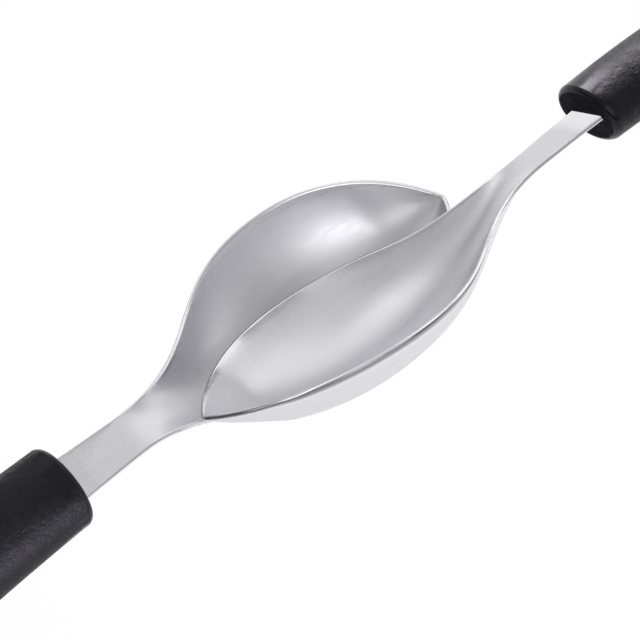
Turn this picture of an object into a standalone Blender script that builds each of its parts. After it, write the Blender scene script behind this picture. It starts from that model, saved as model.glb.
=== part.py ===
"""A pair of quenelle spoons, lying one in the other.

Each spoon is a blade, stamped from one strip of stainless sheet, and a moulded
plastic handle. The blade is a leaf-shaped bowl with a blunt point, a narrow neck
and a flat tang. The tang fits a slot in the handle, and two pillars of the plastic
pass through its punched holes and lock it. The two spoons are the same. The lower
one lies on its bowl and on the end of its handle. The upper one lies the other way
round in the lower bowl, rolled onto its side, with the end of its handle on the table.

A spoon's own frame has its origin at the bowl's tip, on the upper face of the
sheet. +X runs along the spoon to the handle and +Z points up out of the bowl.
Lengths are in metres and angles in degrees.
"""

import math

import bmesh
import bpy
import numpy as np
from mathutils import Matrix, Vector
from mathutils.bvhtree import BVHTree
from mathutils.geometry import interpolate_bezier

# Sheet and bowl, measured on the upper face of the sheet
SHEET = 0.0010
BOWL_WIDTH = 0.0468
WIDEST_AT = 0.0360
BOWL_DEPTH = 0.0124
DEEPEST_AT = 0.0340
BOWL_LENGTH = 0.0880
WALL_POWER = 2.5

# Outline in plan: how far the handles of its curves reach
TIP_REACH = (0.0006, 0.0022)
FRONT_REACH = 0.0260
REAR_REACH = 0.0250
WAIST_REACH = 0.0230

# Rim seen from the side: a slight crown, then the rise to the neck
RIM_CROWN = 0.0018
RIM_LEVEL_AT = 0.0550
RIM_REACH = 0.0120
NECK_AT = 0.0850
NECK_HEIGHT = 0.0055
NECK_REACH = 0.0145
NECK_SLOPE = 0.080

# Keel seen from the side
KEEL_TIP_REACH = (0.0057, 0.0070)
KEEL_FRONT_REACH = 0.0130
KEEL_REAR_REACH = 0.0330
KEEL_END_REACH = 0.0135

# Neck and tang
WAIST_AT = 0.0860
WAIST_WIDTH = 0.0098
TANG_FULL_AT = 0.1280
TANG_WIDTH = 0.0130
TANG_END_AT = 0.1900
TANG_CORNER = 0.0040
FLARE_SHARE = 0.4
TANG_HOLES_AT = (0.1400, 0.1750)
TANG_HOLE = 0.0060

# Handle: where its front face stands, the arch of the tang, then sizes behind the face
BLADE_SHOWN = 0.1045
ARCH_LEAD = 0.0030
ARCH_RADIUS = 0.2587
HANDLE_LENGTH = 0.1280
FRONT_WIDTH = 0.0190
FRONT_RISE = 0.0075
FRONT_DROP = 0.0073
GRIP_AT = 0.1080
GRIP_WIDTH = 0.0226
GRIP_RISE = 0.0097
GRIP_DROP = 0.0088
FRONT_ROUND = 0.0013
FRONT_LEAN = 0.11
LEAN_LENGTH = 0.0200
END_ROUND = 0.0140
SLOT_CLEARANCE = 0.0003

# How the pair lies, before it is levelled: the lower spoon points to +X, the upper to -X
LOWER_TIP_AT = 0.04015
UPPER_TIP = (-0.03563, -0.00920, 0.01117)
UPPER_TURN = (-40.97, -0.19, -4.59)
REST_GAP = 0.0008
MOST_TIP = 15

# Fineness of the meshes
CURVE_STEPS = 97
FRONT_ROWS = 16
REAR_ROWS = 20
TANG_ROWS = 9
CORNER_ROWS = 3
COLUMNS = 20
RING_POINTS = 32
BODY_RINGS = 12
ROUND_STEPS = 4
END_STEPS = 7
HOLE_SIDES = 24
SHARP_ANGLE = 40
SETTLE_STEPS = 40
AXES_SIZE = 0.020


def clear_scene():
    for obj in list(bpy.data.objects):
        bpy.data.objects.remove(obj, do_unlink=True)


def curve(*spans):
    """Points (along, value) on a chain of Bezier spans, each given by four points."""
    points = []
    for span in spans:
        ends = [Vector(p).to_3d() for p in span]
        points += interpolate_bezier(*ends, CURVE_STEPS)[bool(points):]
    return np.array([point[:2] for point in points])


def read(points, along):
    return float(np.interp(along, points[:, 0], points[:, 1]))


def beside(point, reach, slope=0.0):
    """The end of a curve's handle that reaches out from a point at a slope."""
    return (point[0] + reach, point[1] + slope * reach)


def outline_curve():
    """Half-width of the blade: blunt tip, widest, waist, then the full tang."""
    widest = (WIDEST_AT, BOWL_WIDTH / 2)
    waist = (WAIST_AT, WAIST_WIDTH / 2)
    tang = (TANG_FULL_AT, TANG_WIDTH / 2)
    flare = (TANG_FULL_AT - WAIST_AT) * FLARE_SHARE
    front = ((0, 0), TIP_REACH, beside(widest, -FRONT_REACH), widest)
    rear = (widest, beside(widest, REAR_REACH), beside(waist, -WAIST_REACH), waist)
    neck = (waist, beside(waist, flare), beside(tang, -flare), tang)
    return curve(front, rear, neck)


def rim_curve():
    """Height of the rim as far as the neck, where a straight rise begins."""
    level = (RIM_LEVEL_AT, 0)
    neck = (NECK_AT, NECK_HEIGHT)
    third = RIM_LEVEL_AT / 3
    bowl = ((0, 0), (third, RIM_CROWN), beside(level, -third), level)
    rise = (level, beside(level, RIM_REACH), beside(neck, -NECK_REACH, NECK_SLOPE), neck)
    return curve(bowl, rise)


def keel_curve():
    """Height of the bowl's lowest line, from the tip to where the neck is flat."""
    under_tip = (KEEL_TIP_REACH[0], -KEEL_TIP_REACH[1])
    deepest = (DEEPEST_AT, -BOWL_DEPTH)
    end = (BOWL_LENGTH, rim_height(BOWL_LENGTH))
    front = ((0, 0), under_tip, beside(deepest, -KEEL_FRONT_REACH), deepest)
    rear = (deepest, beside(deepest, KEEL_REAR_REACH), beside(end, -KEEL_END_REACH, NECK_SLOPE), end)
    return curve(front, rear)


def rim_height(along):
    """Rim, then the straight neck, then the arch that the tang shares with the handle."""
    if along <= NECK_AT:
        return read(RIM, along)
    arched = max(0.0, along - (BLADE_SHOWN - ARCH_LEAD))
    return NECK_HEIGHT + NECK_SLOPE * (along - NECK_AT) - arched**2 / (2 * ARCH_RADIUS)


def tang_slope(along):
    return NECK_SLOPE - max(0.0, along - (BLADE_SHOWN - ARCH_LEAD)) / ARCH_RADIUS


OUTLINE = outline_curve()
RIM = rim_curve()
KEEL = keel_curve()


def half_width(along):
    """Half-width of the blade, with round corners on the end of its tang."""
    into_corner = max(0.0, along - (TANG_END_AT - TANG_CORNER))
    rounded = TANG_CORNER - math.sqrt(max(0.0, TANG_CORNER**2 - into_corner**2))
    return read(OUTLINE, along) - rounded


def bowl_depth(along):
    if along >= BOWL_LENGTH:
        return 0.0
    return max(0.0, rim_height(along) - read(KEEL, along))


def blade_row(along):
    """Points across the upper face, from one edge to the other."""
    half, top, deep = half_width(along), rim_height(along), bowl_depth(along)
    across = [2 * i / COLUMNS - 1 for i in range(COLUMNS + 1)]
    return [Vector((along, half * y, top - deep * (1 - abs(y) ** WALL_POWER))) for y in across]


def tang_places():
    """Rows from the arch's start to the tang's end, closer together on its corners."""
    corner = TANG_END_AT - TANG_CORNER
    straight = list(np.linspace(BLADE_SHOWN - ARCH_LEAD, corner, TANG_ROWS + 1))
    turns = [math.radians(90) * (i + 1) / CORNER_ROWS for i in range(CORNER_ROWS)]
    return straight + [corner + TANG_CORNER * math.sin(turn) for turn in turns]


def blade_places():
    """Rows after the tip: close together where the outline turns, even on the rest."""
    front = [OUTLINE[i * (CURVE_STEPS - 1) // FRONT_ROWS, 0] for i in range(1, FRONT_ROWS)]
    rear = list(np.linspace(WIDEST_AT, BOWL_LENGTH, REAR_ROWS + 1))
    return front + rear + tang_places()


def add_object(name, mesh_builder, parent=None):
    """A new object from a bmesh, linked to the scene and set under its parent."""
    mesh = bpy.data.meshes.new(name)
    bmesh.ops.recalc_face_normals(mesh_builder, faces=mesh_builder.faces)
    mesh_builder.to_mesh(mesh)
    mesh_builder.free()
    obj = bpy.data.objects.new(name, mesh)
    bpy.context.scene.collection.objects.link(obj)
    obj.parent = parent
    return obj


def add_empty(name, parent=None):
    obj = bpy.data.objects.new(name, None)
    obj.empty_display_size = AXES_SIZE
    bpy.context.scene.collection.objects.link(obj)
    obj.parent = parent
    return obj


def as_cutter(obj):
    obj.hide_render = True
    obj.display_type = "WIRE"
    return obj


def loft(bm, rows, closed):
    """Skins a chain of equal rows of points, and returns the rows of vertices."""
    rings = [[bm.verts.new(point) for point in row] for row in rows]
    count = len(rings[0])
    for ring, following in zip(rings, rings[1:]):
        for i in range(count if closed else count - 1):
            j = (i + 1) % count
            bm.faces.new((ring[i], ring[j], following[j], following[i]))
    return rings


def fan(bm, point, ring, closed):
    """Joins a ring to one vertex at its pole."""
    pole = bm.verts.new(point)
    count = len(ring)
    for i in range(count if closed else count - 1):
        bm.faces.new((pole, ring[(i + 1) % count], ring[i]))


def add_material(name, colour, metallic, roughness):
    material = bpy.data.materials.new(name)
    material.use_nodes = True
    shader = material.node_tree.nodes["Principled BSDF"]
    shader.inputs["Base Color"].default_value = (*colour, 1)
    shader.inputs["Metallic"].default_value = metallic
    shader.inputs["Roughness"].default_value = roughness
    return material


def add_boolean(obj, cutter):
    cut = obj.modifiers.new(cutter.name, "BOOLEAN")
    cut.operation = "DIFFERENCE"
    cut.solver = "EXACT"
    cut.object = cutter


def shade(obj, material):
    obj.data.materials.append(material)
    obj.data.shade_smooth()
    obj.data.set_sharp_from_angle(angle=math.radians(SHARP_ANGLE))


def pins(name, radius, parent):
    """Round bars square to the tang at its holes: the punch, or the plastic pillars."""
    bm = bmesh.new()
    for along in TANG_HOLES_AT:
        place = Matrix.Translation((along, 0, rim_height(along) - SHEET / 2))
        turn = Matrix.Rotation(-math.atan(tang_slope(along)), 4, "Y")
        bmesh.ops.create_cone(
            bm,
            cap_ends=True,
            segments=HOLE_SIDES,
            radius1=radius,
            radius2=radius,
            depth=TANG_HOLE,
            matrix=place @ turn,
        )
    return as_cutter(add_object(name, bm, parent))


def add_blade(name, parent, material):
    """Bowl, neck and tang: one skin, given the sheet's thickness below it, then punched."""
    bm = bmesh.new()
    rows = loft(bm, [blade_row(along) for along in blade_places()], closed=False)
    fan(bm, (0, 0, 0), rows[0], closed=False)
    blade = add_object(name, bm, parent)
    if blade.data.polygons[0].normal.z < 0:
        blade.data.flip_normals()
    wall = blade.modifiers.new("sheet", "SOLIDIFY")
    wall.thickness = SHEET
    wall.offset = -1
    wall.use_even_offset = True
    add_boolean(blade, pins(name + "_punch", TANG_HOLE / 2, parent))
    shade(blade, material)


def handle_axis(behind):
    """Centre and slope of the handle at a distance behind its front face."""
    along = BLADE_SHOWN + behind
    return Vector((along, 0, rim_height(along) - SHEET / 2)), math.atan(tang_slope(along))


def swell(front, grip):
    """A size that grows steadily from the front face and levels out at the grip."""
    third = GRIP_AT / 3
    return curve(((0, front), (third, (front + grip) / 2), (2 * third, grip), (GRIP_AT, grip)))


HALF_WIDTH = swell(FRONT_WIDTH / 2, GRIP_WIDTH / 2)
RISE = swell(FRONT_RISE, GRIP_RISE)
DROP = swell(FRONT_DROP, GRIP_DROP)


def handle_ring(behind, inset=0.0, share=1.0):
    """An oval ring, square to the axis but leaning forward near the front face."""
    centre, slope = handle_axis(behind)
    half, rise, drop = (read(size, behind) * share - inset for size in (HALF_WIDTH, RISE, DROP))
    lean = FRONT_LEAN * max(0.0, 1 - behind / LEAN_LENGTH)
    ring = []
    for i in range(RING_POINTS):
        turn = 2 * math.pi * i / RING_POINTS
        up = math.sin(turn) * (rise if turn < math.pi else drop)
        point = Vector((-lean * up, half * math.cos(turn), up))
        ring.append(centre + Matrix.Rotation(-slope, 3, "Y") @ point)
    return ring


def add_slot(name, parent):
    """The space for the tang, open at the handle's face and crossed by the pillars."""
    straight = tang_places()[: TANG_ROWS + 1]
    places = [NECK_AT, *straight, TANG_END_AT + SLOT_CLEARANCE]
    rows = []
    for along in places:
        half = read(OUTLINE, along) + SLOT_CLEARANCE
        top = rim_height(along) + SLOT_CLEARANCE
        bottom = top - SHEET - 2 * SLOT_CLEARANCE
        corners = ((-half, bottom), (half, bottom), (half, top), (-half, top))
        rows.append([Vector((along, y, z)) for y, z in corners])
    bm = bmesh.new()
    rings = loft(bm, rows, closed=True)
    bm.faces.new(rings[0])
    bm.faces.new(rings[-1])
    slot = as_cutter(add_object(name, bm, parent))
    add_boolean(slot, pins(name + "_pillars", TANG_HOLE / 2 - SLOT_CLEARANCE, parent))
    return slot


def add_handle(name, parent, material):
    """A moulded grip: flat leaning face, oval body along the arch, and a round end."""
    rings = []
    for i in range(ROUND_STEPS + 1):
        turn = math.radians(90) * i / ROUND_STEPS
        back = FRONT_ROUND * (1 - math.cos(turn))
        rings.append(handle_ring(back, inset=FRONT_ROUND * (1 - math.sin(turn))))
    rear = HANDLE_LENGTH - END_ROUND
    rings += [handle_ring(behind) for behind in np.linspace(FRONT_ROUND, rear, BODY_RINGS + 1)[1:]]
    for i in range(1, END_STEPS):
        turn = math.radians(90) * i / END_STEPS
        rings.append(handle_ring(rear + END_ROUND * math.sin(turn), share=math.cos(turn)))
    bm = bmesh.new()
    skin = loft(bm, rings, closed=True)
    bm.faces.new(skin[0])
    fan(bm, handle_axis(HANDLE_LENGTH)[0], skin[-1], closed=True)
    handle = add_object(name, bm, parent)
    add_boolean(handle, add_slot(name + "_slot", parent))
    shade(handle, material)


def add_spoon(name, parent, steel, plastic):
    spoon = add_empty(name, parent)
    add_blade(name + "_blade", spoon, steel)
    add_handle(name + "_handle", spoon, plastic)
    return spoon


def finished(name):
    """An object as it stands, with its modifiers."""
    bpy.context.view_layer.update()
    return bpy.data.objects[name].evaluated_get(bpy.context.evaluated_depsgraph_get())


def world_points(name):
    obj = finished(name)
    points = np.empty(len(obj.data.vertices) * 3)
    obj.data.vertices.foreach_get("co", points)
    matrix = np.array(obj.matrix_world)
    return points.reshape(-1, 3) @ matrix[:3, :3].T + matrix[:3, 3]


def skin_tree(name):
    """A search tree of an object's faces, for rays."""
    faces = [polygon.vertices[:] for polygon in finished(name).data.polygons]
    return BVHTree.FromPolygons(world_points(name).tolist(), faces)


def least_drop(points, skin, direction):
    """How far the points can move in a direction before the first one meets the skin."""
    hits = [skin.ray_cast(Vector(point), direction)[3] for point in points]
    return min(hit for hit in hits if hit is not None)


def lay(upper):
    """Lowers the upper spoon into the lower bowl until only the rest gap is left."""
    upper.location.z += BOWL_DEPTH
    down, up = Vector((0, 0, -1)), Vector((0, 0, 1))
    onto = least_drop(world_points("upper_blade"), skin_tree("lower_blade"), down)
    under = least_drop(world_points("lower_blade"), skin_tree("upper_blade"), up)
    upper.location.z -= min(onto, under) - REST_GAP


def settle(pair):
    """Tips the pair until the lower bowl and the lower handle's end lie on one level."""
    bowl, handle = world_points("lower_blade"), world_points("lower_handle")
    least, most = -math.radians(MOST_TIP), math.radians(MOST_TIP)
    for _ in range(SETTLE_STEPS):
        tip = (least + most) / 2
        fall = np.array((-math.sin(tip), 0, math.cos(tip)))
        if (handle @ fall).min() > (bowl @ fall).min():
            most = tip
        else:
            least = tip
    pair.rotation_euler = (0, tip, 0)


def stand_on_origin(pair):
    """Moves the pair so that it stands on Z = 0 with its middle over the origin."""
    names = [f"{which}_{piece}" for which in ("lower", "upper") for piece in ("blade", "handle")]
    points = np.concatenate([world_points(name) for name in names])
    low, high = points.min(axis=0), points.max(axis=0)
    pair.location = (-(low[0] + high[0]) / 2, -(low[1] + high[1]) / 2, -low[2])


def build():
    clear_scene()
    steel = add_material("satin_steel", (0.60, 0.60, 0.62), 1.0, 0.32)
    plastic = add_material("black_plastic", (0.013, 0.013, 0.015), 0.0, 0.45)
    pair = add_empty("pair")
    lower = add_spoon("lower", pair, steel, plastic)
    lower.location = (LOWER_TIP_AT, 0, 0)
    lower.rotation_euler = (0, 0, math.pi)
    upper = add_spoon("upper", pair, steel, plastic)
    upper.location = UPPER_TIP
    upper.rotation_euler = [math.radians(angle) for angle in UPPER_TURN]
    lay(upper)
    settle(pair)
    stand_on_origin(pair)


build()
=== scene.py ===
# %% [markdown]
# # A pair of quenelle spoons
#
# A cook passes a soft food from one of these spoons to the other until it is a smooth
# oval with pointed ends, a quenelle. The two spoons are the same: a leaf-shaped bowl of
# satin stainless steel with a blunt point, a narrow flat neck, and an oval handle of
# black plastic. In this scene one lies in the other, as they are shown when sold.
#
# The shapes come from a CAD model, which is loaded first and never changed. Each step
# below copies a part of it, refines the copy, and gives it a finish made from nodes.

import math

import bpy
from mathutils import Matrix, Vector


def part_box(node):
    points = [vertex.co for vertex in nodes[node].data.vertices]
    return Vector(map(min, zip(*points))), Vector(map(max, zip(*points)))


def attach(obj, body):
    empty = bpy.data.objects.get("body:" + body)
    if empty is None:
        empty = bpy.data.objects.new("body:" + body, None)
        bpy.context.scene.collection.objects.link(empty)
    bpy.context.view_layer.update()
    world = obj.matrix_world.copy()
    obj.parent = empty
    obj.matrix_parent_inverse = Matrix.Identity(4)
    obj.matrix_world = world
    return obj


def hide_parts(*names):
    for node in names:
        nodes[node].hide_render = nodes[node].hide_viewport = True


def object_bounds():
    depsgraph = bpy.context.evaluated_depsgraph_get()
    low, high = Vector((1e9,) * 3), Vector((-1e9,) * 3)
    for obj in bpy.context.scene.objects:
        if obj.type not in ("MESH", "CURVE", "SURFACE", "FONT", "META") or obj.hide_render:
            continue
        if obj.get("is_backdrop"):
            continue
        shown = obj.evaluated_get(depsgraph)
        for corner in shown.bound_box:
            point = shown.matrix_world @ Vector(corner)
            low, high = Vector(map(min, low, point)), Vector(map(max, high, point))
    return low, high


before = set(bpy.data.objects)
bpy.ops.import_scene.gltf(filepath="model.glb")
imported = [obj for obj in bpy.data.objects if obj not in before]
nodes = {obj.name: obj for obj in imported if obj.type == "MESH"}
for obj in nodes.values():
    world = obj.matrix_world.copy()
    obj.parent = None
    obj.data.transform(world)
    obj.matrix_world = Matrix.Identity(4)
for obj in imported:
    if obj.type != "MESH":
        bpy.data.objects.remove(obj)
cad_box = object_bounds()
print("CAD pieces:", sorted(nodes))

# %% [markdown]
# ## The camera
#
# A photograph can only be matched from where it was taken, so the camera comes first.
# Its direction is given as an azimuth round the object and an elevation above the
# table, which are easier to think about than three coordinates. The lens is long, so
# the near handle hardly looks bigger than the far one, and both run out of the picture.

# %% Camera
AIM = Vector((-0.0013, 0.0058, 0.0137))
AZIMUTH = math.radians(-39.98)
ELEVATION = math.radians(62.23)
ROLL = math.radians(-3.38)
DISTANCE = 0.4177
LENS_MM = 112.2
SENSOR_MM = 36.0
NEAREST = 0.01


def direction(azimuth, elevation):
    """A unit vector: azimuth 0 points to -Y and a quarter turn to +X."""
    level = math.cos(elevation)
    return Vector((math.sin(azimuth) * level, -math.cos(azimuth) * level, math.sin(elevation)))


def look_at(obj, back, distance, aim, roll=0.0):
    """Stands an object at a distance behind its aim, with its own -Z towards the aim."""
    right = Vector((0, 0, 1)).cross(back).normalized()
    turn = Matrix((right, back.cross(right), back)).transposed()
    obj.matrix_world = (
        Matrix.Translation(aim + back * distance)
        @ turn.to_4x4()
        @ Matrix.Rotation(roll, 4, "Z")
    )


bpy.ops.object.camera_add()
camera = bpy.context.object
camera.name = "camera"
camera.data.lens = LENS_MM
camera.data.sensor_width = SENSOR_MM
camera.data.clip_start = NEAREST
look_at(camera, direction(AZIMUTH, ELEVATION), DISTANCE, AIM, ROLL)
bpy.context.scene.camera = camera
bpy.context.scene.view_settings.view_transform = "Standard"
print("camera at", [round(c, 3) for c in camera.location])

# %% [markdown]
# ## Shader maths in Python
#
# A finish is a tree of nodes, and most of it is arithmetic: a scratch pattern times a
# strength, plus a base value. Written as nodes that is long, so a small class wraps a
# socket and gives it Python's operators. Every operator adds one Math node, also when
# the number comes first, as in 1 - mask.

# %% A socket that can be added and multiplied


class Wire:
    """An output socket of a tree, with arithmetic."""

    def __init__(self, tree, socket):
        self.tree = tree
        self.socket = socket

    def maths(self, operation, *values):
        settings = {"operation": operation}
        return node(self.tree, "ShaderNodeMath", settings, dict(enumerate(values)))

    def __add__(self, other):
        return self.maths("ADD", self, other)

    def __sub__(self, other):
        return self.maths("SUBTRACT", self, other)

    def __rsub__(self, other):
        return self.maths("SUBTRACT", other, self)

    def __mul__(self, other):
        return self.maths("MULTIPLY", self, other)

    def __truediv__(self, other):
        return self.maths("DIVIDE", self, other)

    def __rtruediv__(self, other):
        return self.maths("DIVIDE", other, self)

    __radd__ = __add__
    __rmul__ = __mul__


# %% [markdown]
# ## Nodes from one function
#
# By hand a node is added, its menus are set, and then its sockets are filled or linked.
# The order matters, because a menu can change which sockets there are. One function
# does the same for every kind of node, so a finish further down reads as a short list
# of what is special about it.

# %% Any node, and the stops of a ramp


def node(tree, kind, settings=None, values=None, output=0):
    """Adds a node, sets its options, then fills its sockets, by their names or numbers."""
    made = tree.nodes.new(kind)
    for name, value in (settings or {}).items():
        if name == "stops":
            set_stops(made.color_ramp, value)
        else:
            setattr(made, name, value)
    for key, value in (values or {}).items():
        if isinstance(value, Wire):
            tree.links.new(value.socket, made.inputs[key])
        else:
            made.inputs[key].default_value = value
    return Wire(tree, made.outputs[output]) if len(made.outputs) else None


def set_stops(ramp, stops):
    """Gives a colour ramp its stops, each a position and a grey."""
    while len(ramp.elements) < len(stops):
        ramp.elements.new(1.0)
    for element, (position, grey) in zip(ramp.elements, stops):
        element.position = position
        element.color = (grey, grey, grey, 1.0)


# %% [markdown]
# ## Materials and mixed colours
#
# A new material comes with a shader that isn't wanted here, so its tree is emptied
# first. Colours can't go through a Math node, which would turn them grey. They go
# through a Mix node instead, which also multiplies a colour by a pattern of greys.

# %% An empty material, and a mix of two colours
# A Mix node has sockets for every kind of data. These are its factor and its colours.
MIX_SHARE = 0
MIX_FIRST = 6
MIX_SECOND = 7
MIX_RESULT = 2


def empty_material(name):
    """A material and its tree, with no node in it yet."""
    material = bpy.data.materials.new(name)
    material.use_nodes = True
    tree = material.node_tree
    tree.nodes.clear()
    return material, tree


def blend(tree, share, first, second, mode="MIX"):
    """A colour between two colours, or their product with the mode MULTIPLY."""
    settings = {"data_type": "RGBA", "blend_type": mode}
    first, second = (c if isinstance(c, Wire) else (*c, 1.0) for c in (first, second))
    values = {MIX_SHARE: share, MIX_FIRST: first, MIX_SECOND: second}
    return node(tree, "ShaderNodeMix", settings, values, output=MIX_RESULT)


# %% [markdown]
# ## Table and backdrop
#
# The spoons are shown on pure white, with hardly a shadow. A white table that was lit
# until it is white everywhere would flood the steel, so the table is told which rays
# look at it. To the camera it glows almost white and adds only a little of its real,
# shaded surface, which leaves a faint shadow. To the steel it is the real lit surface
# with a weaker glow, so the steel still finds the dark places under the spoons.

# %% Table
TABLE_SIZE = 6.0
TABLE_COLOUR = 0.80
TABLE_GLOW = 0.92
TABLE_SHARE = 0.16
MIRROR_GLOW = 0.46
BLACK = (0, 0, 0)


def table_finish():
    material, tree = empty_material("table_white")
    camera_ray = node(tree, "ShaderNodeLightPath", output="Is Camera Ray")
    glossy_ray = node(tree, "ShaderNodeLightPath", output="Is Glossy Ray")
    glass_ray = node(tree, "ShaderNodeLightPath", output="Is Transmission Ray")
    share = 1.0 - camera_ray * (1.0 - TABLE_SHARE)
    pale = blend(tree, share, BLACK, (TABLE_COLOUR,) * 3)
    matt = node(tree, "ShaderNodeBsdfDiffuse", None, {"Color": pale})
    strength = camera_ray * TABLE_GLOW + (glossy_ray + glass_ray) * MIRROR_GLOW
    glow = node(tree, "ShaderNodeEmission", None, {"Strength": strength})
    both = node(tree, "ShaderNodeAddShader", None, {0: matt, 1: glow})
    node(tree, "ShaderNodeOutputMaterial", None, {"Surface": both})
    return material


bpy.ops.mesh.primitive_plane_add(size=TABLE_SIZE)
table = bpy.context.object
table.name = "table"
table.data.materials.append(table_finish())
table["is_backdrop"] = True
print("table", [round(side, 2) for side in table.dimensions])

# %% [markdown]
# ## Studio light
#
# Curved steel shows nothing but its surroundings, so the light is the drawing. The sky
# of this studio is an even grey. Its walls, low down, are not: they are paler on the
# right and behind, and nearly black in front and on the left, which gives each bowl a
# light side and a dark one. A picture of a real studio could do this, but greys that
# are worked out from the direction are easy to change: the height of a direction blends
# wall and sky, and its angle round the spoons looks up the wall's grey in a ramp.

# %% World
SKY = 0.37
# Heights of a direction, where 0 is level and 1 is straight up.
WALL_TOP = 0.20
SKY_FROM = 0.50
WHITE = (1, 1, 1)
FULL_TURN = 360
# The front of the studio is in the middle of the ramp, and the back is at both its ends.
FRONT = 0.5
# Greys of the wall at angles round the spoons, from the back over the left to the front
# and on over the right to the back again.
WALLS = [
    (-180, 0.20),
    (-140, 0.03),
    (0, 0.03),
    (45, 0.45),
    (90, 0.30),
    (135, 0.22),
    (180, 0.20),
]

world = bpy.data.worlds.new("studio")
world.use_nodes = True
bpy.context.scene.world = world
tree = world.node_tree
tree.nodes.clear()
outwards = node(tree, "ShaderNodeTexCoord", output="Generated")
right, back, up = (
    node(tree, "ShaderNodeSeparateXYZ", None, {0: outwards}, output=axis) for axis in "XYZ"
)
turn = right.maths("ARCTAN2", right, 0.0 - back) / math.tau + FRONT
stops = [(angle / FULL_TURN + FRONT, grey) for angle, grey in WALLS]
walls = node(tree, "ShaderNodeValToRGB", {"stops": stops}, {0: turn})
height = node(
    tree, "ShaderNodeMapRange", None, {"Value": up, "From Min": WALL_TOP, "From Max": SKY_FROM}
)
room = blend(tree, height, walls, (SKY,) * 3)
camera_ray = node(tree, "ShaderNodeLightPath", output="Is Camera Ray")
seen = blend(tree, camera_ray, room, WHITE)
background = node(tree, "ShaderNodeBackground", None, {"Color": seen, "Strength": 1.0})
node(tree, "ShaderNodeOutputWorld", None, {"Surface": background})
greys = [grey for angle, grey in WALLS]
print("world", world.name, "has walls from", min(greys), "to", max(greys), "and sky", SKY)

# %% [markdown]
# ## Soft boxes
#
# Each bright patch on the steel mirrors one direction, and a soft box in that direction
# makes it. A lamp's power could be typed in watts, but then a larger box would also be a
# dimmer one. So each box has its brightness as a grey, where 1 is as bright as white
# paper, and its area turns that into watts.

# %% Soft boxes
# Each has an azimuth and an elevation in degrees, two sides in metres and a brightness.
SOFT_BOXES = {
    "front_box": (-9, 31, 0.65, 0.50, 0.74),
    "small_front_box": (-9, 42, 0.34, 0.32, 1.25),
    "left_box": (-36, 53, 0.70, 0.36, 1.15),
    "right_box": (60, 18, 0.40, 0.30, 0.60),
    "side_box": (97, 24, 0.95, 0.40, 0.60),
    "low_back_box": (128, 20, 0.40, 0.35, 0.38),
    "high_back_box": (122, 46, 0.42, 0.24, 0.80),
    "back_box": (163, 28, 0.80, 0.60, 0.52),
    "rear_box": (182, 44, 0.40, 0.35, 0.70),
    "far_box": (222, 42, 0.40, 0.35, 0.35),
    "over_box": (140, 70, 0.40, 0.40, 0.24),
    "top_box": (0, 78, 0.40, 0.40, 0.44),
}
LAMP_DISTANCE = 0.9
# An area light of a square metre needs this power to be as bright as white.
WATTS_PER_AREA = 4.0


def soft_box(name, azimuth, elevation, width, depth, brightness):
    """A rectangle of even light, as bright as a white surface times its brightness."""
    bpy.ops.object.light_add(type="AREA")
    lamp = bpy.context.object
    lamp.name = name
    lamp.data.shape = "RECTANGLE"
    lamp.data.size = width
    lamp.data.size_y = depth
    lamp.data.energy = brightness * width * depth * WATTS_PER_AREA
    lamp.visible_camera = False
    back = direction(math.radians(azimuth), math.radians(elevation))
    look_at(lamp, back, LAMP_DISTANCE, AIM)
    print(name, "gives", round(lamp.data.energy, 2), "W")
    return lamp


for name, values in SOFT_BOXES.items():
    soft_box(name, *values)

# %% [markdown]
# ## Light for the handles
#
# Black plastic mirrors only a few hundredths of the light, so what is right for the
# steel leaves the handles flat. A photographer would add a lamp and a screen that keeps
# it off the bowls. Here two more boxes light the handles alone, each its own: a lamp's
# light linking names a collection, and only the pieces in it receive the light.

# %% One more box for each handle
HANDLE_BOXES = {
    "upper": (148, 20, 0.70, 0.40, 10.5),
    "lower": (-10, 18, 0.60, 0.30, 13.5),
}
COOL_WHITE = (1.0, 0.98, 1.0)

lit_handles = {}
for which, values in HANDLE_BOXES.items():
    lamp = soft_box(which + "_handle_box", *values)
    lamp.data.color = COOL_WHITE
    lit_handles[which] = bpy.data.collections.new(which + "_handle_lit")
    lamp.light_linking.receiver_collection = lit_handles[which]

# %% [markdown]
# ## Brush strokes and marks
#
# A finish changes over its surface in two ways. Some of it is noise: fine lines, streaks
# and soft clouds. It could be a picture on the surface, but a noise on Object coordinates
# needs no unwrapping and has its size in metres: one Mapping node turns it to lie along
# the spoon, and a second one stretches it. The rest follows the shape, such as a ground
# edge. The modelling cells write that as mesh attributes, a number on each point, and an
# Attribute node reads it.

# %% Noise in strokes, and attributes
NOISE_MIDDLE = 0.5


def object_place(tree):
    """The point of the piece that is being shaded, in metres."""
    return node(tree, "ShaderNodeTexCoord", output="Object")


def strokes(tree, turn, length, width, detail):
    """Noise in strokes of a length and a width, along a piece that is turned in space."""
    place = object_place(tree)
    straight = node(
        tree, "ShaderNodeMapping", {"vector_type": "TEXTURE"}, {"Vector": place, "Rotation": turn}
    )
    scale = (1 / length, 1 / width, 1 / width)
    scaled = node(
        tree, "ShaderNodeMapping", {"vector_type": "POINT"}, {"Vector": straight, "Scale": scale}
    )
    return node(
        tree, "ShaderNodeTexNoise", None, {"Vector": scaled, "Scale": 1.0, "Detail": detail}
    )


def vary(noise, strength):
    """A noise as a change round zero, up or down by half the strength."""
    return (noise - NOISE_MIDDLE) * strength


def attribute(tree, name):
    return node(tree, "ShaderNodeAttribute", {"attribute_name": name}, output="Fac")


def relief_normal(tree, height, depth):
    """The surface's normal, tilted by a relief of a depth in metres."""
    values = {"Strength": 1.0, "Distance": depth, "Height": height}
    return node(tree, "ShaderNodeBump", None, values)


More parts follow.
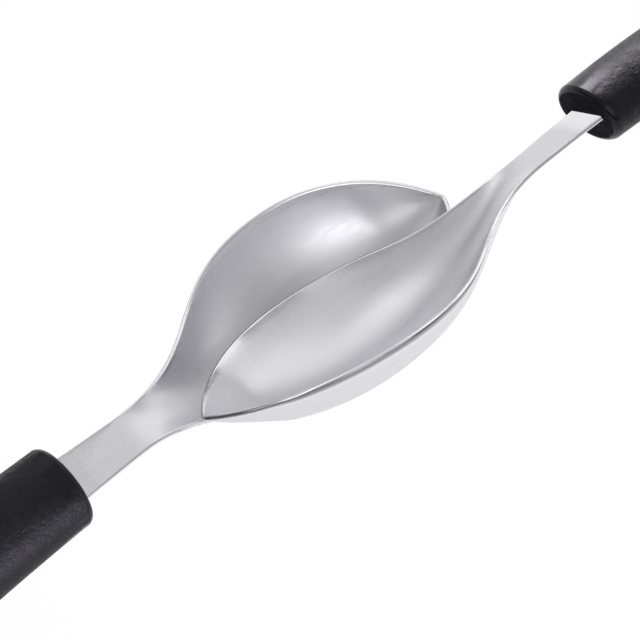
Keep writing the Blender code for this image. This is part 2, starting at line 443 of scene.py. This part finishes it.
# %% [markdown]
# ## Satin stainless steel
#
# The bowls are pressed from polished sheet and then brushed until they are satin: a
# highlight spreads into a soft patch with no sharp mirror image. Seen close, the surface
# has very fine lines along the spoon, wider and longer streaks where the brush ran on, and
# slow changes in gloss where it pressed harder. All three are in the colour and the
# roughness, and the fine lines are a very shallow bump too. The bump matters most: its
# lines tilt the steel sideways, so highlights spread across the lines and not along them.
#
# The cut edge of the sheet is ground and polished, so it is shinier, and its colour is made
# a little brighter, which is a painted highlight. Just under it, on the outside, a thin dark
# line of painted shade is put into the colour. The attribute that marks it fades down the
# wall, and a Map Range node keeps only its strong part.

# %% Steel
STEEL = (0.755, 0.75, 0.785)
METALLIC = 0.86
STEEL_ROUGHNESS = 0.40
EDGE_ROUGHNESS = 0.17
# The size of each kind of stroke, and the depth of the fine lines, in metres.
LINE_LENGTH = 0.028
LINE_WIDTH = 0.00032
LINE_DEPTH = 0.000014
STREAK_LENGTH = 0.060
STREAK_WIDTH = 0.0012
CLOUD_LENGTH = 0.020
CLOUD_WIDTH = 0.009
# How much finer noise each one has on it.
BRUSH_DETAIL = 1.0
CLOUD_DETAIL = 3.0
# How strongly each noise changes the roughness and the colour.
LINE_GLOSS = 0.08
STREAK_GLOSS = 0.10
CLOUD_GLOSS = 0.10
LINE_SHADE = 0.06
STREAK_SHADE = 0.07
CLOUD_SHADE = 0.06
# The ground edge's extra brightness in the colour is a painted highlight.
EDGE_PAINTED_HIGHLIGHT = 0.06
# The dark line under the rim is painted shade in the steel's colour.
PAINTED_SHADE_UNDER_RIM = 0.70
PAINTED_SHADE_FROM = 0.55
EDGE = "ground_edge"
PAINTED_SHADE_MARK = "line_under_rim"


def steel_finish(name, turn):
    material, tree = empty_material(name)
    lines = strokes(tree, turn, LINE_LENGTH, LINE_WIDTH, BRUSH_DETAIL)
    streaks = strokes(tree, turn, STREAK_LENGTH, STREAK_WIDTH, BRUSH_DETAIL)
    clouds = strokes(tree, turn, CLOUD_LENGTH, CLOUD_WIDTH, CLOUD_DETAIL)
    edge = attribute(tree, EDGE)
    marked = {"Value": attribute(tree, PAINTED_SHADE_MARK), "From Min": PAINTED_SHADE_FROM}
    painted_shade_line = node(tree, "ShaderNodeMapRange", None, marked)
    gloss = vary(lines, LINE_GLOSS) + vary(streaks, STREAK_GLOSS) + vary(clouds, CLOUD_GLOSS)
    roughness = STEEL_ROUGHNESS + gloss - edge * (STEEL_ROUGHNESS - EDGE_ROUGHNESS)
    brushed = vary(clouds, CLOUD_SHADE) + vary(lines, LINE_SHADE) + vary(streaks, STREAK_SHADE)
    # The ground edge gets a painted highlight, and the line under the rim gets painted shade.
    shade = 1.0 + brushed + edge * EDGE_PAINTED_HIGHLIGHT - painted_shade_line * PAINTED_SHADE_UNDER_RIM
    colour = blend(tree, 1.0, STEEL, shade, "MULTIPLY")
    bump = relief_normal(tree, lines * (1.0 - edge), LINE_DEPTH)
    steel = {"Base Color": colour, "Metallic": METALLIC, "Roughness": roughness, "Normal": bump}
    shader = node(tree, "ShaderNodeBsdfPrincipled", None, steel)
    node(tree, "ShaderNodeOutputMaterial", None, {"Surface": shader})
    print(name, "has", len(tree.nodes), "nodes")
    return material


# %% [markdown]
# ## Black plastic
#
# The handles are moulded in a tool whose wall was etched, which leaves a fine even grain
# that breaks up every reflection. The plastic is nearly black with a trace of violet. Two
# noises make the grain: one of a millimetre or two, which mottles the sheen, and a finer
# one on it. The front face is rougher than the grip, and it is darker by painted shade: its
# colour is darkened, and its reflection is dimmed by mixing in black. More roughness alone
# would still leave it a grey sheen, so more than half of its shader is a plain diffuse black.
# The rounded edge and the thin lip round that face are smooth and catch a line of light.

# %% Plastic
PLASTIC = (0.0048, 0.0046, 0.0060)
# The colour of the painted shade on the front face.
PAINTED_SHADE_PLASTIC = (0.0100, 0.0098, 0.0120)
VIOLET = (0.86, 0.83, 1.0, 1.0)
PLASTIC_ROUGHNESS = 0.46
PLASTIC_SPECULAR = 0.16
COAT = 0.12
COAT_ROUGHNESS = 0.45
# The size of the specks and the depth of the grain, in metres.
MOTTLE = 0.0015
GRAIN = 0.00045
GRAIN_DEPTH = 0.00036
GRAIN_DETAIL = 2.0
# How strongly each noise changes the roughness, the colour and the relief.
MOTTLE_GLOSS = 0.45
GRAIN_GLOSS = 0.25
MOTTLE_SHADE = 1.2
GRAIN_SHADE = 0.8
MOTTLE_RELIEF = 0.7
GRAIN_RELIEF = 0.5
# What the lip and the front face change.
LIP_POLISH = 0.24
FACE_ROUGH = 0.20
# The front face's darker colour and its share of diffuse black are painted shade.
FACE_PAINTED_SHADE = 0.6
FACE_PAINTED_SHADE_MIX = 0.60
LIP = "smooth_lip"
FACE = "front_face"


def speckle(tree, place, size):
    """Even noise with specks of a size in metres."""
    values = {"Vector": place, "Scale": 1 / size, "Detail": GRAIN_DETAIL}
    return node(tree, "ShaderNodeTexNoise", None, values)


def plastic_finish(name):
    material, tree = empty_material(name)
    place = object_place(tree)
    mottle = speckle(tree, place, MOTTLE)
    grain = speckle(tree, place, GRAIN)
    lip = attribute(tree, LIP)
    face = attribute(tree, FACE)
    skin = 1.0 - lip
    gloss = (vary(mottle, MOTTLE_GLOSS) + vary(grain, GRAIN_GLOSS)) * skin
    roughness = PLASTIC_ROUGHNESS + gloss - lip * LIP_POLISH + face * FACE_ROUGH
    mottled = 1.0 + vary(mottle, MOTTLE_SHADE) + vary(grain, GRAIN_SHADE)
    # The front face's colour is darkened here, which is painted shade.
    colour = blend(tree, 1.0, PLASTIC, mottled * (1.0 - face * FACE_PAINTED_SHADE), "MULTIPLY")
    relief = (mottle * MOTTLE_RELIEF + grain * GRAIN_RELIEF) * skin
    plastic = {
        "Base Color": colour,
        "Roughness": roughness,
        "Coat Weight": (1.0 - face) * COAT,
        "Normal": relief_normal(tree, relief, GRAIN_DEPTH),
        "Coat Roughness": COAT_ROUGHNESS,
        "Specular IOR Level": PLASTIC_SPECULAR,
        "Specular Tint": VIOLET,
    }
    shiny = node(tree, "ShaderNodeBsdfPrincipled", None, plastic)
    # A plain diffuse black, mixed into the front face, paints its shade.
    painted_shade = node(tree, "ShaderNodeBsdfDiffuse", None, {"Color": (*PAINTED_SHADE_PLASTIC, 1.0)})
    shader = node(tree, "ShaderNodeMixShader", None, {0: face * FACE_PAINTED_SHADE_MIX, 1: shiny, 2: painted_shade})
    node(tree, "ShaderNodeOutputMaterial", None, {"Surface": shader})
    print(name, "has", len(tree.nodes), "nodes")
    return material


# %% [markdown]
# ## Copying a CAD piece
#
# A CAD node is a cloud of loose triangles. A piece could be modelled anew from a plane,
# but then it would only be near the CAD shape, so each one here starts as a copy of its
# node. The copy is merged into one skin, and pairs of triangles become quads again,
# because a subdivision surface is only smooth over quads. When a piece is finished, it
# rides on its body and takes the CAD node's place.

# %% Copy, subdivide and seat
MERGE = 0.00001
QUAD_ANGLE = math.radians(40)
QUAD_SKEW = math.radians(120)


def select_only(obj):
    bpy.ops.object.select_all(action="DESELECT")
    obj.select_set(True)
    bpy.context.view_layer.objects.active = obj


def copy_of(node_name, name):
    """A piece of its own, with a CAD node's shape as one skin of quads."""
    piece = bpy.data.objects.new(name, nodes[node_name].data.copy())
    bpy.context.scene.collection.objects.link(piece)
    piece.data.materials.clear()
    select_only(piece)
    bpy.ops.object.mode_set(mode="EDIT")
    bpy.ops.mesh.select_all(action="SELECT")
    bpy.ops.mesh.remove_doubles(threshold=MERGE)
    bpy.ops.mesh.tris_convert_to_quads(face_threshold=QUAD_ANGLE, shape_threshold=QUAD_SKEW)
    bpy.ops.mesh.select_all(action="DESELECT")
    bpy.ops.object.mode_set(mode="OBJECT")
    return piece


def subdivide(piece, levels):
    smooth = piece.modifiers.new("smooth", "SUBSURF")
    smooth.levels = levels
    smooth.render_levels = levels
    select_only(piece)
    bpy.ops.object.modifier_apply(modifier=smooth.name)
    bpy.ops.object.shade_smooth()


def seat(piece, body, node_name):
    """Lets a piece ride on its body in place of the CAD node."""
    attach(piece, body)
    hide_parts(node_name)
    print(piece.name, "has", len(piece.data.polygons), "faces")


# %% [markdown]
# ## Selecting on a blade
#
# A modelling operator works on what is selected, so most of the work is to select the
# right points, edges or faces. By hand that is a click. In code it is a test of a point's
# place: how far it is from the bowl's point, or whether it shows outside the handle. Both
# blades go through the same steps. The way from the bowl's point to the handle is -X on
# the lower spoon and +X on the upper one, and the value inwards holds that sign.

# %% Tests and selections
SHARP = math.radians(50)
INTO_HANDLE = 0.012


def tip_of(piece, inwards):
    """The place of the bowl's point along the blade, growing towards the handle."""
    return min(inwards * point.co.x for point in piece.data.vertices)


def near_tip(piece, inwards, length):
    """A test for a point of a blade that is less than a length from the bowl's point."""
    tip = tip_of(piece, inwards)
    return lambda point: inwards * point.x - tip < length


def shown_side(which):
    """A test for a point of a blade that is outside its handle or just inside it."""
    low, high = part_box(which + "_handle")
    if which == "lower":
        return lambda point: point.x > high.x - INTO_HANDLE
    return lambda point: point.x < low.x + INTO_HANDLE


def edit_with_none(piece, kind):
    """Opens a piece in edit mode with nothing selected, ready for one kind of element."""
    select_only(piece)
    bpy.ops.object.mode_set(mode="EDIT")
    bpy.ops.mesh.select_mode(type=kind)
    bpy.ops.mesh.select_all(action="DESELECT")


def select_sharp_edges(piece, test):
    """Selects the sharp edges of a piece, but only where the test holds at both ends."""
    edit_with_none(piece, "EDGE")
    bpy.ops.mesh.edges_select_sharp(sharpness=SHARP)
    bpy.ops.object.mode_set(mode="OBJECT")
    points = piece.data.vertices
    for edge in piece.data.edges:
        if edge.select:
            edge.select = all(test(points[i].co) for i in edge.vertices)
    bpy.ops.object.mode_set(mode="EDIT")


def select_faces(piece, test):
    """Selects the faces of a piece that have all their points where the test holds."""
    edit_with_none(piece, "FACE")
    bpy.ops.object.mode_set(mode="OBJECT")
    points = piece.data.vertices
    for face in piece.data.polygons:
        face.select = all(test(points[i].co) for i in face.vertices)
    bpy.ops.object.mode_set(mode="EDIT")


# %% [markdown]
# ## The flat of the neck
#
# The neck has a flat before the handle, where a rest could hold the spoon. In the copy it
# is a fan of long triangles, and a subdivision makes waves along such triangles. With one
# large face in their place an arc shows where the flat ends. So they are cut across in
# rows instead, each at a distance from the bowl's point.

# %% Cut the flat into rows
FLAT_FROM = 0.088
FLAT_ROWS = (0.0920, 0.0955, 0.0990)
ALONG = (1, 0, 0)


def rows_on_neck(piece, which, inwards):
    """Cuts the long triangles on the flat of the neck into rows, so they can't wave."""
    shown = shown_side(which)
    before_flat = near_tip(piece, inwards, FLAT_FROM)
    tip = tip_of(piece, inwards)
    for row in FLAT_ROWS:
        select_faces(piece, lambda point: shown(point) and not before_flat(point))
        bpy.ops.mesh.bisect(plane_co=(inwards * (tip + row), 0, 0), plane_no=ALONG)
        bpy.ops.object.mode_set(mode="OBJECT")
    print(piece.name, "has", len(piece.data.polygons), "faces with its neck in rows")


# %% [markdown]
# ## The bowl's point
#
# The bowl ends in a blunt point. Its walls turn a corner there, and a press leaves that
# corner soft. A bevel would also cut into the rim, so the points of the walls near the
# tip are smoothed instead, all but the rim's. Smoothing moves a point towards the middle
# of its neighbours, and each of many passes rounds the corner a little more.

# %% Soften the point
TIP_LENGTH = 0.012
TIP_PASSES = 24
TIP_STEP = 0.5
RIM_GUARD = 0.0006


def soften_tip(piece, inwards):
    """Smooths the walls of the bowl round its point, and leaves the rim as it is."""
    in_tip = near_tip(piece, inwards, TIP_LENGTH)
    select_sharp_edges(piece, near_tip(piece, inwards, TIP_LENGTH + RIM_GUARD))
    bpy.ops.object.mode_set(mode="OBJECT")
    rim = [point.co.copy() for point in piece.data.vertices if point.select]
    edit_with_none(piece, "VERT")
    bpy.ops.object.mode_set(mode="OBJECT")
    for point in piece.data.vertices:
        if in_tip(point.co):
            point.select = min((point.co - edge).length for edge in rim) > RIM_GUARD
    print(piece.name, "has", sum(point.select for point in piece.data.vertices), "soft points")
    bpy.ops.object.mode_set(mode="EDIT")
    bpy.ops.mesh.vertices_smooth(factor=TIP_STEP, repeat=TIP_PASSES)
    bpy.ops.object.mode_set(mode="OBJECT")


# %% [markdown]
# ## The rim
#
# The sheet is one millimetre thick. The copy of the CAD blade has a square edge, which
# leans as much as the wall does. On the real spoon the bowl's cut edge is ground more
# nearly level. A cut with a plane would level it, but the rim is curved. So each point
# of the outer corner is lifted part of the way to the inner one's height, and less and
# less towards the neck, where the sheet lies flat anyway.

# %% Level the rim
BOWL_LENGTH = 0.080
LEVEL = 0.55
RIM_FADE = 0.025
UNDERSIDE = -0.05


def rim_share(piece, inwards):
    """How far the rim is levelled: a share that fades out where the bowl runs into the neck."""
    end = tip_of(piece, inwards) + BOWL_LENGTH
    return lambda point: LEVEL * min(max((end - inwards * point.x) / RIM_FADE, 0), 1)


def level_rim(piece, share):
    """Lifts the outer corner of the sheet towards the inner one's height, by a share."""
    bpy.ops.object.mode_set(mode="OBJECT")
    points = piece.data.vertices
    rim = {i for edge in piece.data.edges if edge.select for i in edge.vertices}
    under = [face for face in piece.data.polygons if face.normal.z < UNDERSIDE]
    outer = rim & {i for face in under for i in face.vertices}
    # For each point of the outer corner, the heights of its neighbours on the inner one.
    heights = {}
    for edge in piece.data.edges:
        low, high = sorted(edge.vertices, key=lambda i: i not in outer)
        if low in outer and high in rim - outer:
            heights.setdefault(low, []).append(points[high].co.z)
    for i, above in heights.items():
        points[i].co.z += (sum(above) / len(above) - points[i].co.z) * share(points[i].co)
    print(piece.name, "has", len(heights), "points at its level rim")


# %% [markdown]
# ## The rounded edge
#
# After grinding, both corners of the edge are rounded. Creases could keep them sharp,
# but then the rim would be a hard line, without the thin streak of light that a spoon's
# rim has. So both corners are bevelled with a small radius before the surface is
# subdivided. A bevel leaves its new faces selected, which is the moment to write the
# marks for the steel: one on all of the rounded edge, and one on its lower part on the
# outside, where a thin line of painted shade goes.

# %% Round and mark the rim
RIM_ROUND = 0.00040
RIM_STEPS = 4
PAINTED_SHADE_TILT = 0.85


def bevel_rim(piece):
    """Rounds the selected edges, and writes 1 on the new faces' points for the material."""
    bpy.ops.mesh.bevel(offset=RIM_ROUND, segments=RIM_STEPS)
    bpy.ops.object.mode_set(mode="OBJECT")
    mark = piece.data.attributes.new(EDGE, "FLOAT", "POINT")
    for face in piece.data.polygons:
        if face.select:
            for i in face.vertices:
                mark.data[i].value = 1.0


def mark_painted_shade_under_rim(piece, in_bowl, share):
    """Marks the outer, lower part of the rounded rim, for a line of painted shade under it."""
    bowl = [point.co for point in piece.data.vertices if in_bowl(point.co)]
    middle = sum(bowl, Vector()) / len(bowl)
    mark = piece.data.attributes.new(PAINTED_SHADE_MARK, "FLOAT", "POINT")
    for face in piece.data.polygons:
        outwards = (face.center - middle) * face.normal
        if face.select and face.normal.z < PAINTED_SHADE_TILT and outwards.x + outwards.y > 0:
            for i in face.vertices:
                mark.data[i].value = share(piece.data.vertices[i].co) / LEVEL


# %% [markdown]
# ## Both blades
#
# Now the steps run in order on a copy of each blade, and one subdivision surface makes the
# whole skin smooth at the end. The upper spoon lies turned a few degrees from the lower
# one, so its brush lines are turned too.

# %% Make the blades
BLADE_LEVELS = 2
LOWER_TURN = (0.0, 0.0, 0.0)
UPPER_TURN = (0.0, 0.0, math.radians(-4.6))


def add_blade(which, turn, inwards):
    piece = copy_of(which + "_blade", which + "_spoon_blade")
    rows_on_neck(piece, which, inwards)
    soften_tip(piece, inwards)
    in_bowl = near_tip(piece, inwards, BOWL_LENGTH)
    select_sharp_edges(piece, in_bowl)
    share = rim_share(piece, inwards)
    level_rim(piece, share)
    select_sharp_edges(piece, shown_side(which))
    bevel_rim(piece)
    # This marks where the line of painted shade goes under the rim.
    mark_painted_shade_under_rim(piece, in_bowl, share)
    subdivide(piece, BLADE_LEVELS)
    piece.data.materials.append(steel_finish(which + "_steel", turn))
    seat(piece, which + "_spoon", which + "_blade")


add_blade("lower", LOWER_TURN, -1)
add_blade("upper", UPPER_TURN, 1)

# %% [markdown]
# ## The handle's front face and slot
#
# Each handle is one moulding with a flat front face, which leans a little. The face could
# be written down as numbers, but they would be wrong after a change of the CAD model. So
# the largest face near the front gives the plane, and the lip and the marks are measured
# from it. The slot for the blade has sharp edges. They are creased, so the subdivision
# rounds the grip and leaves the slot as it is.

# %% Find the front plane and crease the slot
FRONT_DEPTH = 0.003
SLOT_EDGE = math.radians(45)


def front_plane(piece, forward):
    """The handle's front face as a normal and its distance along that normal."""
    reach = max(forward.dot(point.co) for point in piece.data.vertices) - FRONT_DEPTH
    front = [face for face in piece.data.polygons if face.center.dot(forward) > reach]
    flat = max(front, key=lambda face: face.area * max(face.normal.dot(forward), 0))
    print(piece.name, "has a front face with the normal", [round(c, 3) for c in flat.normal])
    return flat.normal.copy(), flat.normal.dot(flat.center)


def crease_sharp_edges(piece):
    edit_with_none(piece, "EDGE")
    bpy.ops.mesh.edges_select_sharp(sharpness=SLOT_EDGE)
    bpy.ops.transform.edge_crease(value=1.0)
    bpy.ops.object.mode_set(mode="OBJECT")


# %% [markdown]
# ## The lip
#
# The mould is closed round the front face, and that leaves a fine raised line, the lip,
# just behind the rounded edge of that face. It could be a thin ring of its own, but a
# ring would be one more loose piece. So it is made in the skin as by hand: the copy is
# bisected three times close together, and the middle cut is pushed outwards.

# %% Raise the lip
LIP_BEHIND = 0.00125
LIP_HALF = 0.00022
LIP_HEIGHT = 0.00012


def raise_lip(piece, normal, front):
    """Bisects the skin three times behind the front face and lifts the middle cut."""
    middle = front - LIP_BEHIND
    # A bisect leaves its new points selected, so the middle cut comes last.
    for place in (middle - LIP_HALF, middle + LIP_HALF, middle):
        bpy.ops.object.mode_set(mode="EDIT")
        bpy.ops.mesh.select_all(action="SELECT")
        bpy.ops.mesh.bisect(plane_co=normal * place, plane_no=normal)
        bpy.ops.object.mode_set(mode="OBJECT")
    count = sum(point.select for point in piece.data.vertices)
    bpy.ops.object.mode_set(mode="EDIT")
    bpy.ops.transform.shrink_fatten(value=LIP_HEIGHT)
    bpy.ops.object.mode_set(mode="OBJECT")
    print(piece.name, "has a lip of", count, "points")


# %% [markdown]
# ## Both handles
#
# The lip, the rounded edge and the front face need marks for the plastic. They could be
# painted by hand, but each point's distance from the front plane tells exactly where it
# is. The marks are written before the subdivision, which carries them over to its new
# points. Each handle then joins the collection that its own soft box lights.

# %% Make the handles
HANDLE_LEVELS = 2
FACE_TOLERANCE = 0.00005


def write_mark(piece, name, test):
    """A value of 1 or 0 on each point, for the material."""
    mark = piece.data.attributes.new(name, "FLOAT", "POINT")
    for point in piece.data.vertices:
        mark.data[point.index].value = float(test(point.co))


def add_handle(which, forward):
    piece = copy_of(which + "_handle", which + "_spoon_handle")
    normal, front = front_plane(piece, forward)
    crease_sharp_edges(piece)
    raise_lip(piece, normal, front)
    behind_lip = front - LIP_BEHIND - LIP_HALF
    on_face = front - FACE_TOLERANCE
    write_mark(piece, LIP, lambda place: behind_lip < normal.dot(place) < on_face)
    write_mark(piece, FACE, lambda place: normal.dot(place) > on_face)
    subdivide(piece, HANDLE_LEVELS)
    piece.data.materials.append(plastic_finish(which + "_plastic"))
    seat(piece, which + "_spoon", which + "_handle")
    lit_handles[which].objects.link(piece)
    # The steel stays bright right up to the black front face, so it mirrors no handle.
    piece.visible_glossy = False


add_handle("lower", Vector((1, 0, 0)))
add_handle("upper", Vector((-1, 0, 0)))

# %% [markdown]
# ## Sizes
#
# The looks must not change the object's size, so both boxes are written down: that of
# the CAD model and that of the pieces that stand for it.

# %% Write the sizes and finish
boxes = {"cad": cad_box, "visual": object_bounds()}
for key, box in boxes.items():
    print(key, "box", [[round(c, 4) for c in corner] for corner in box])
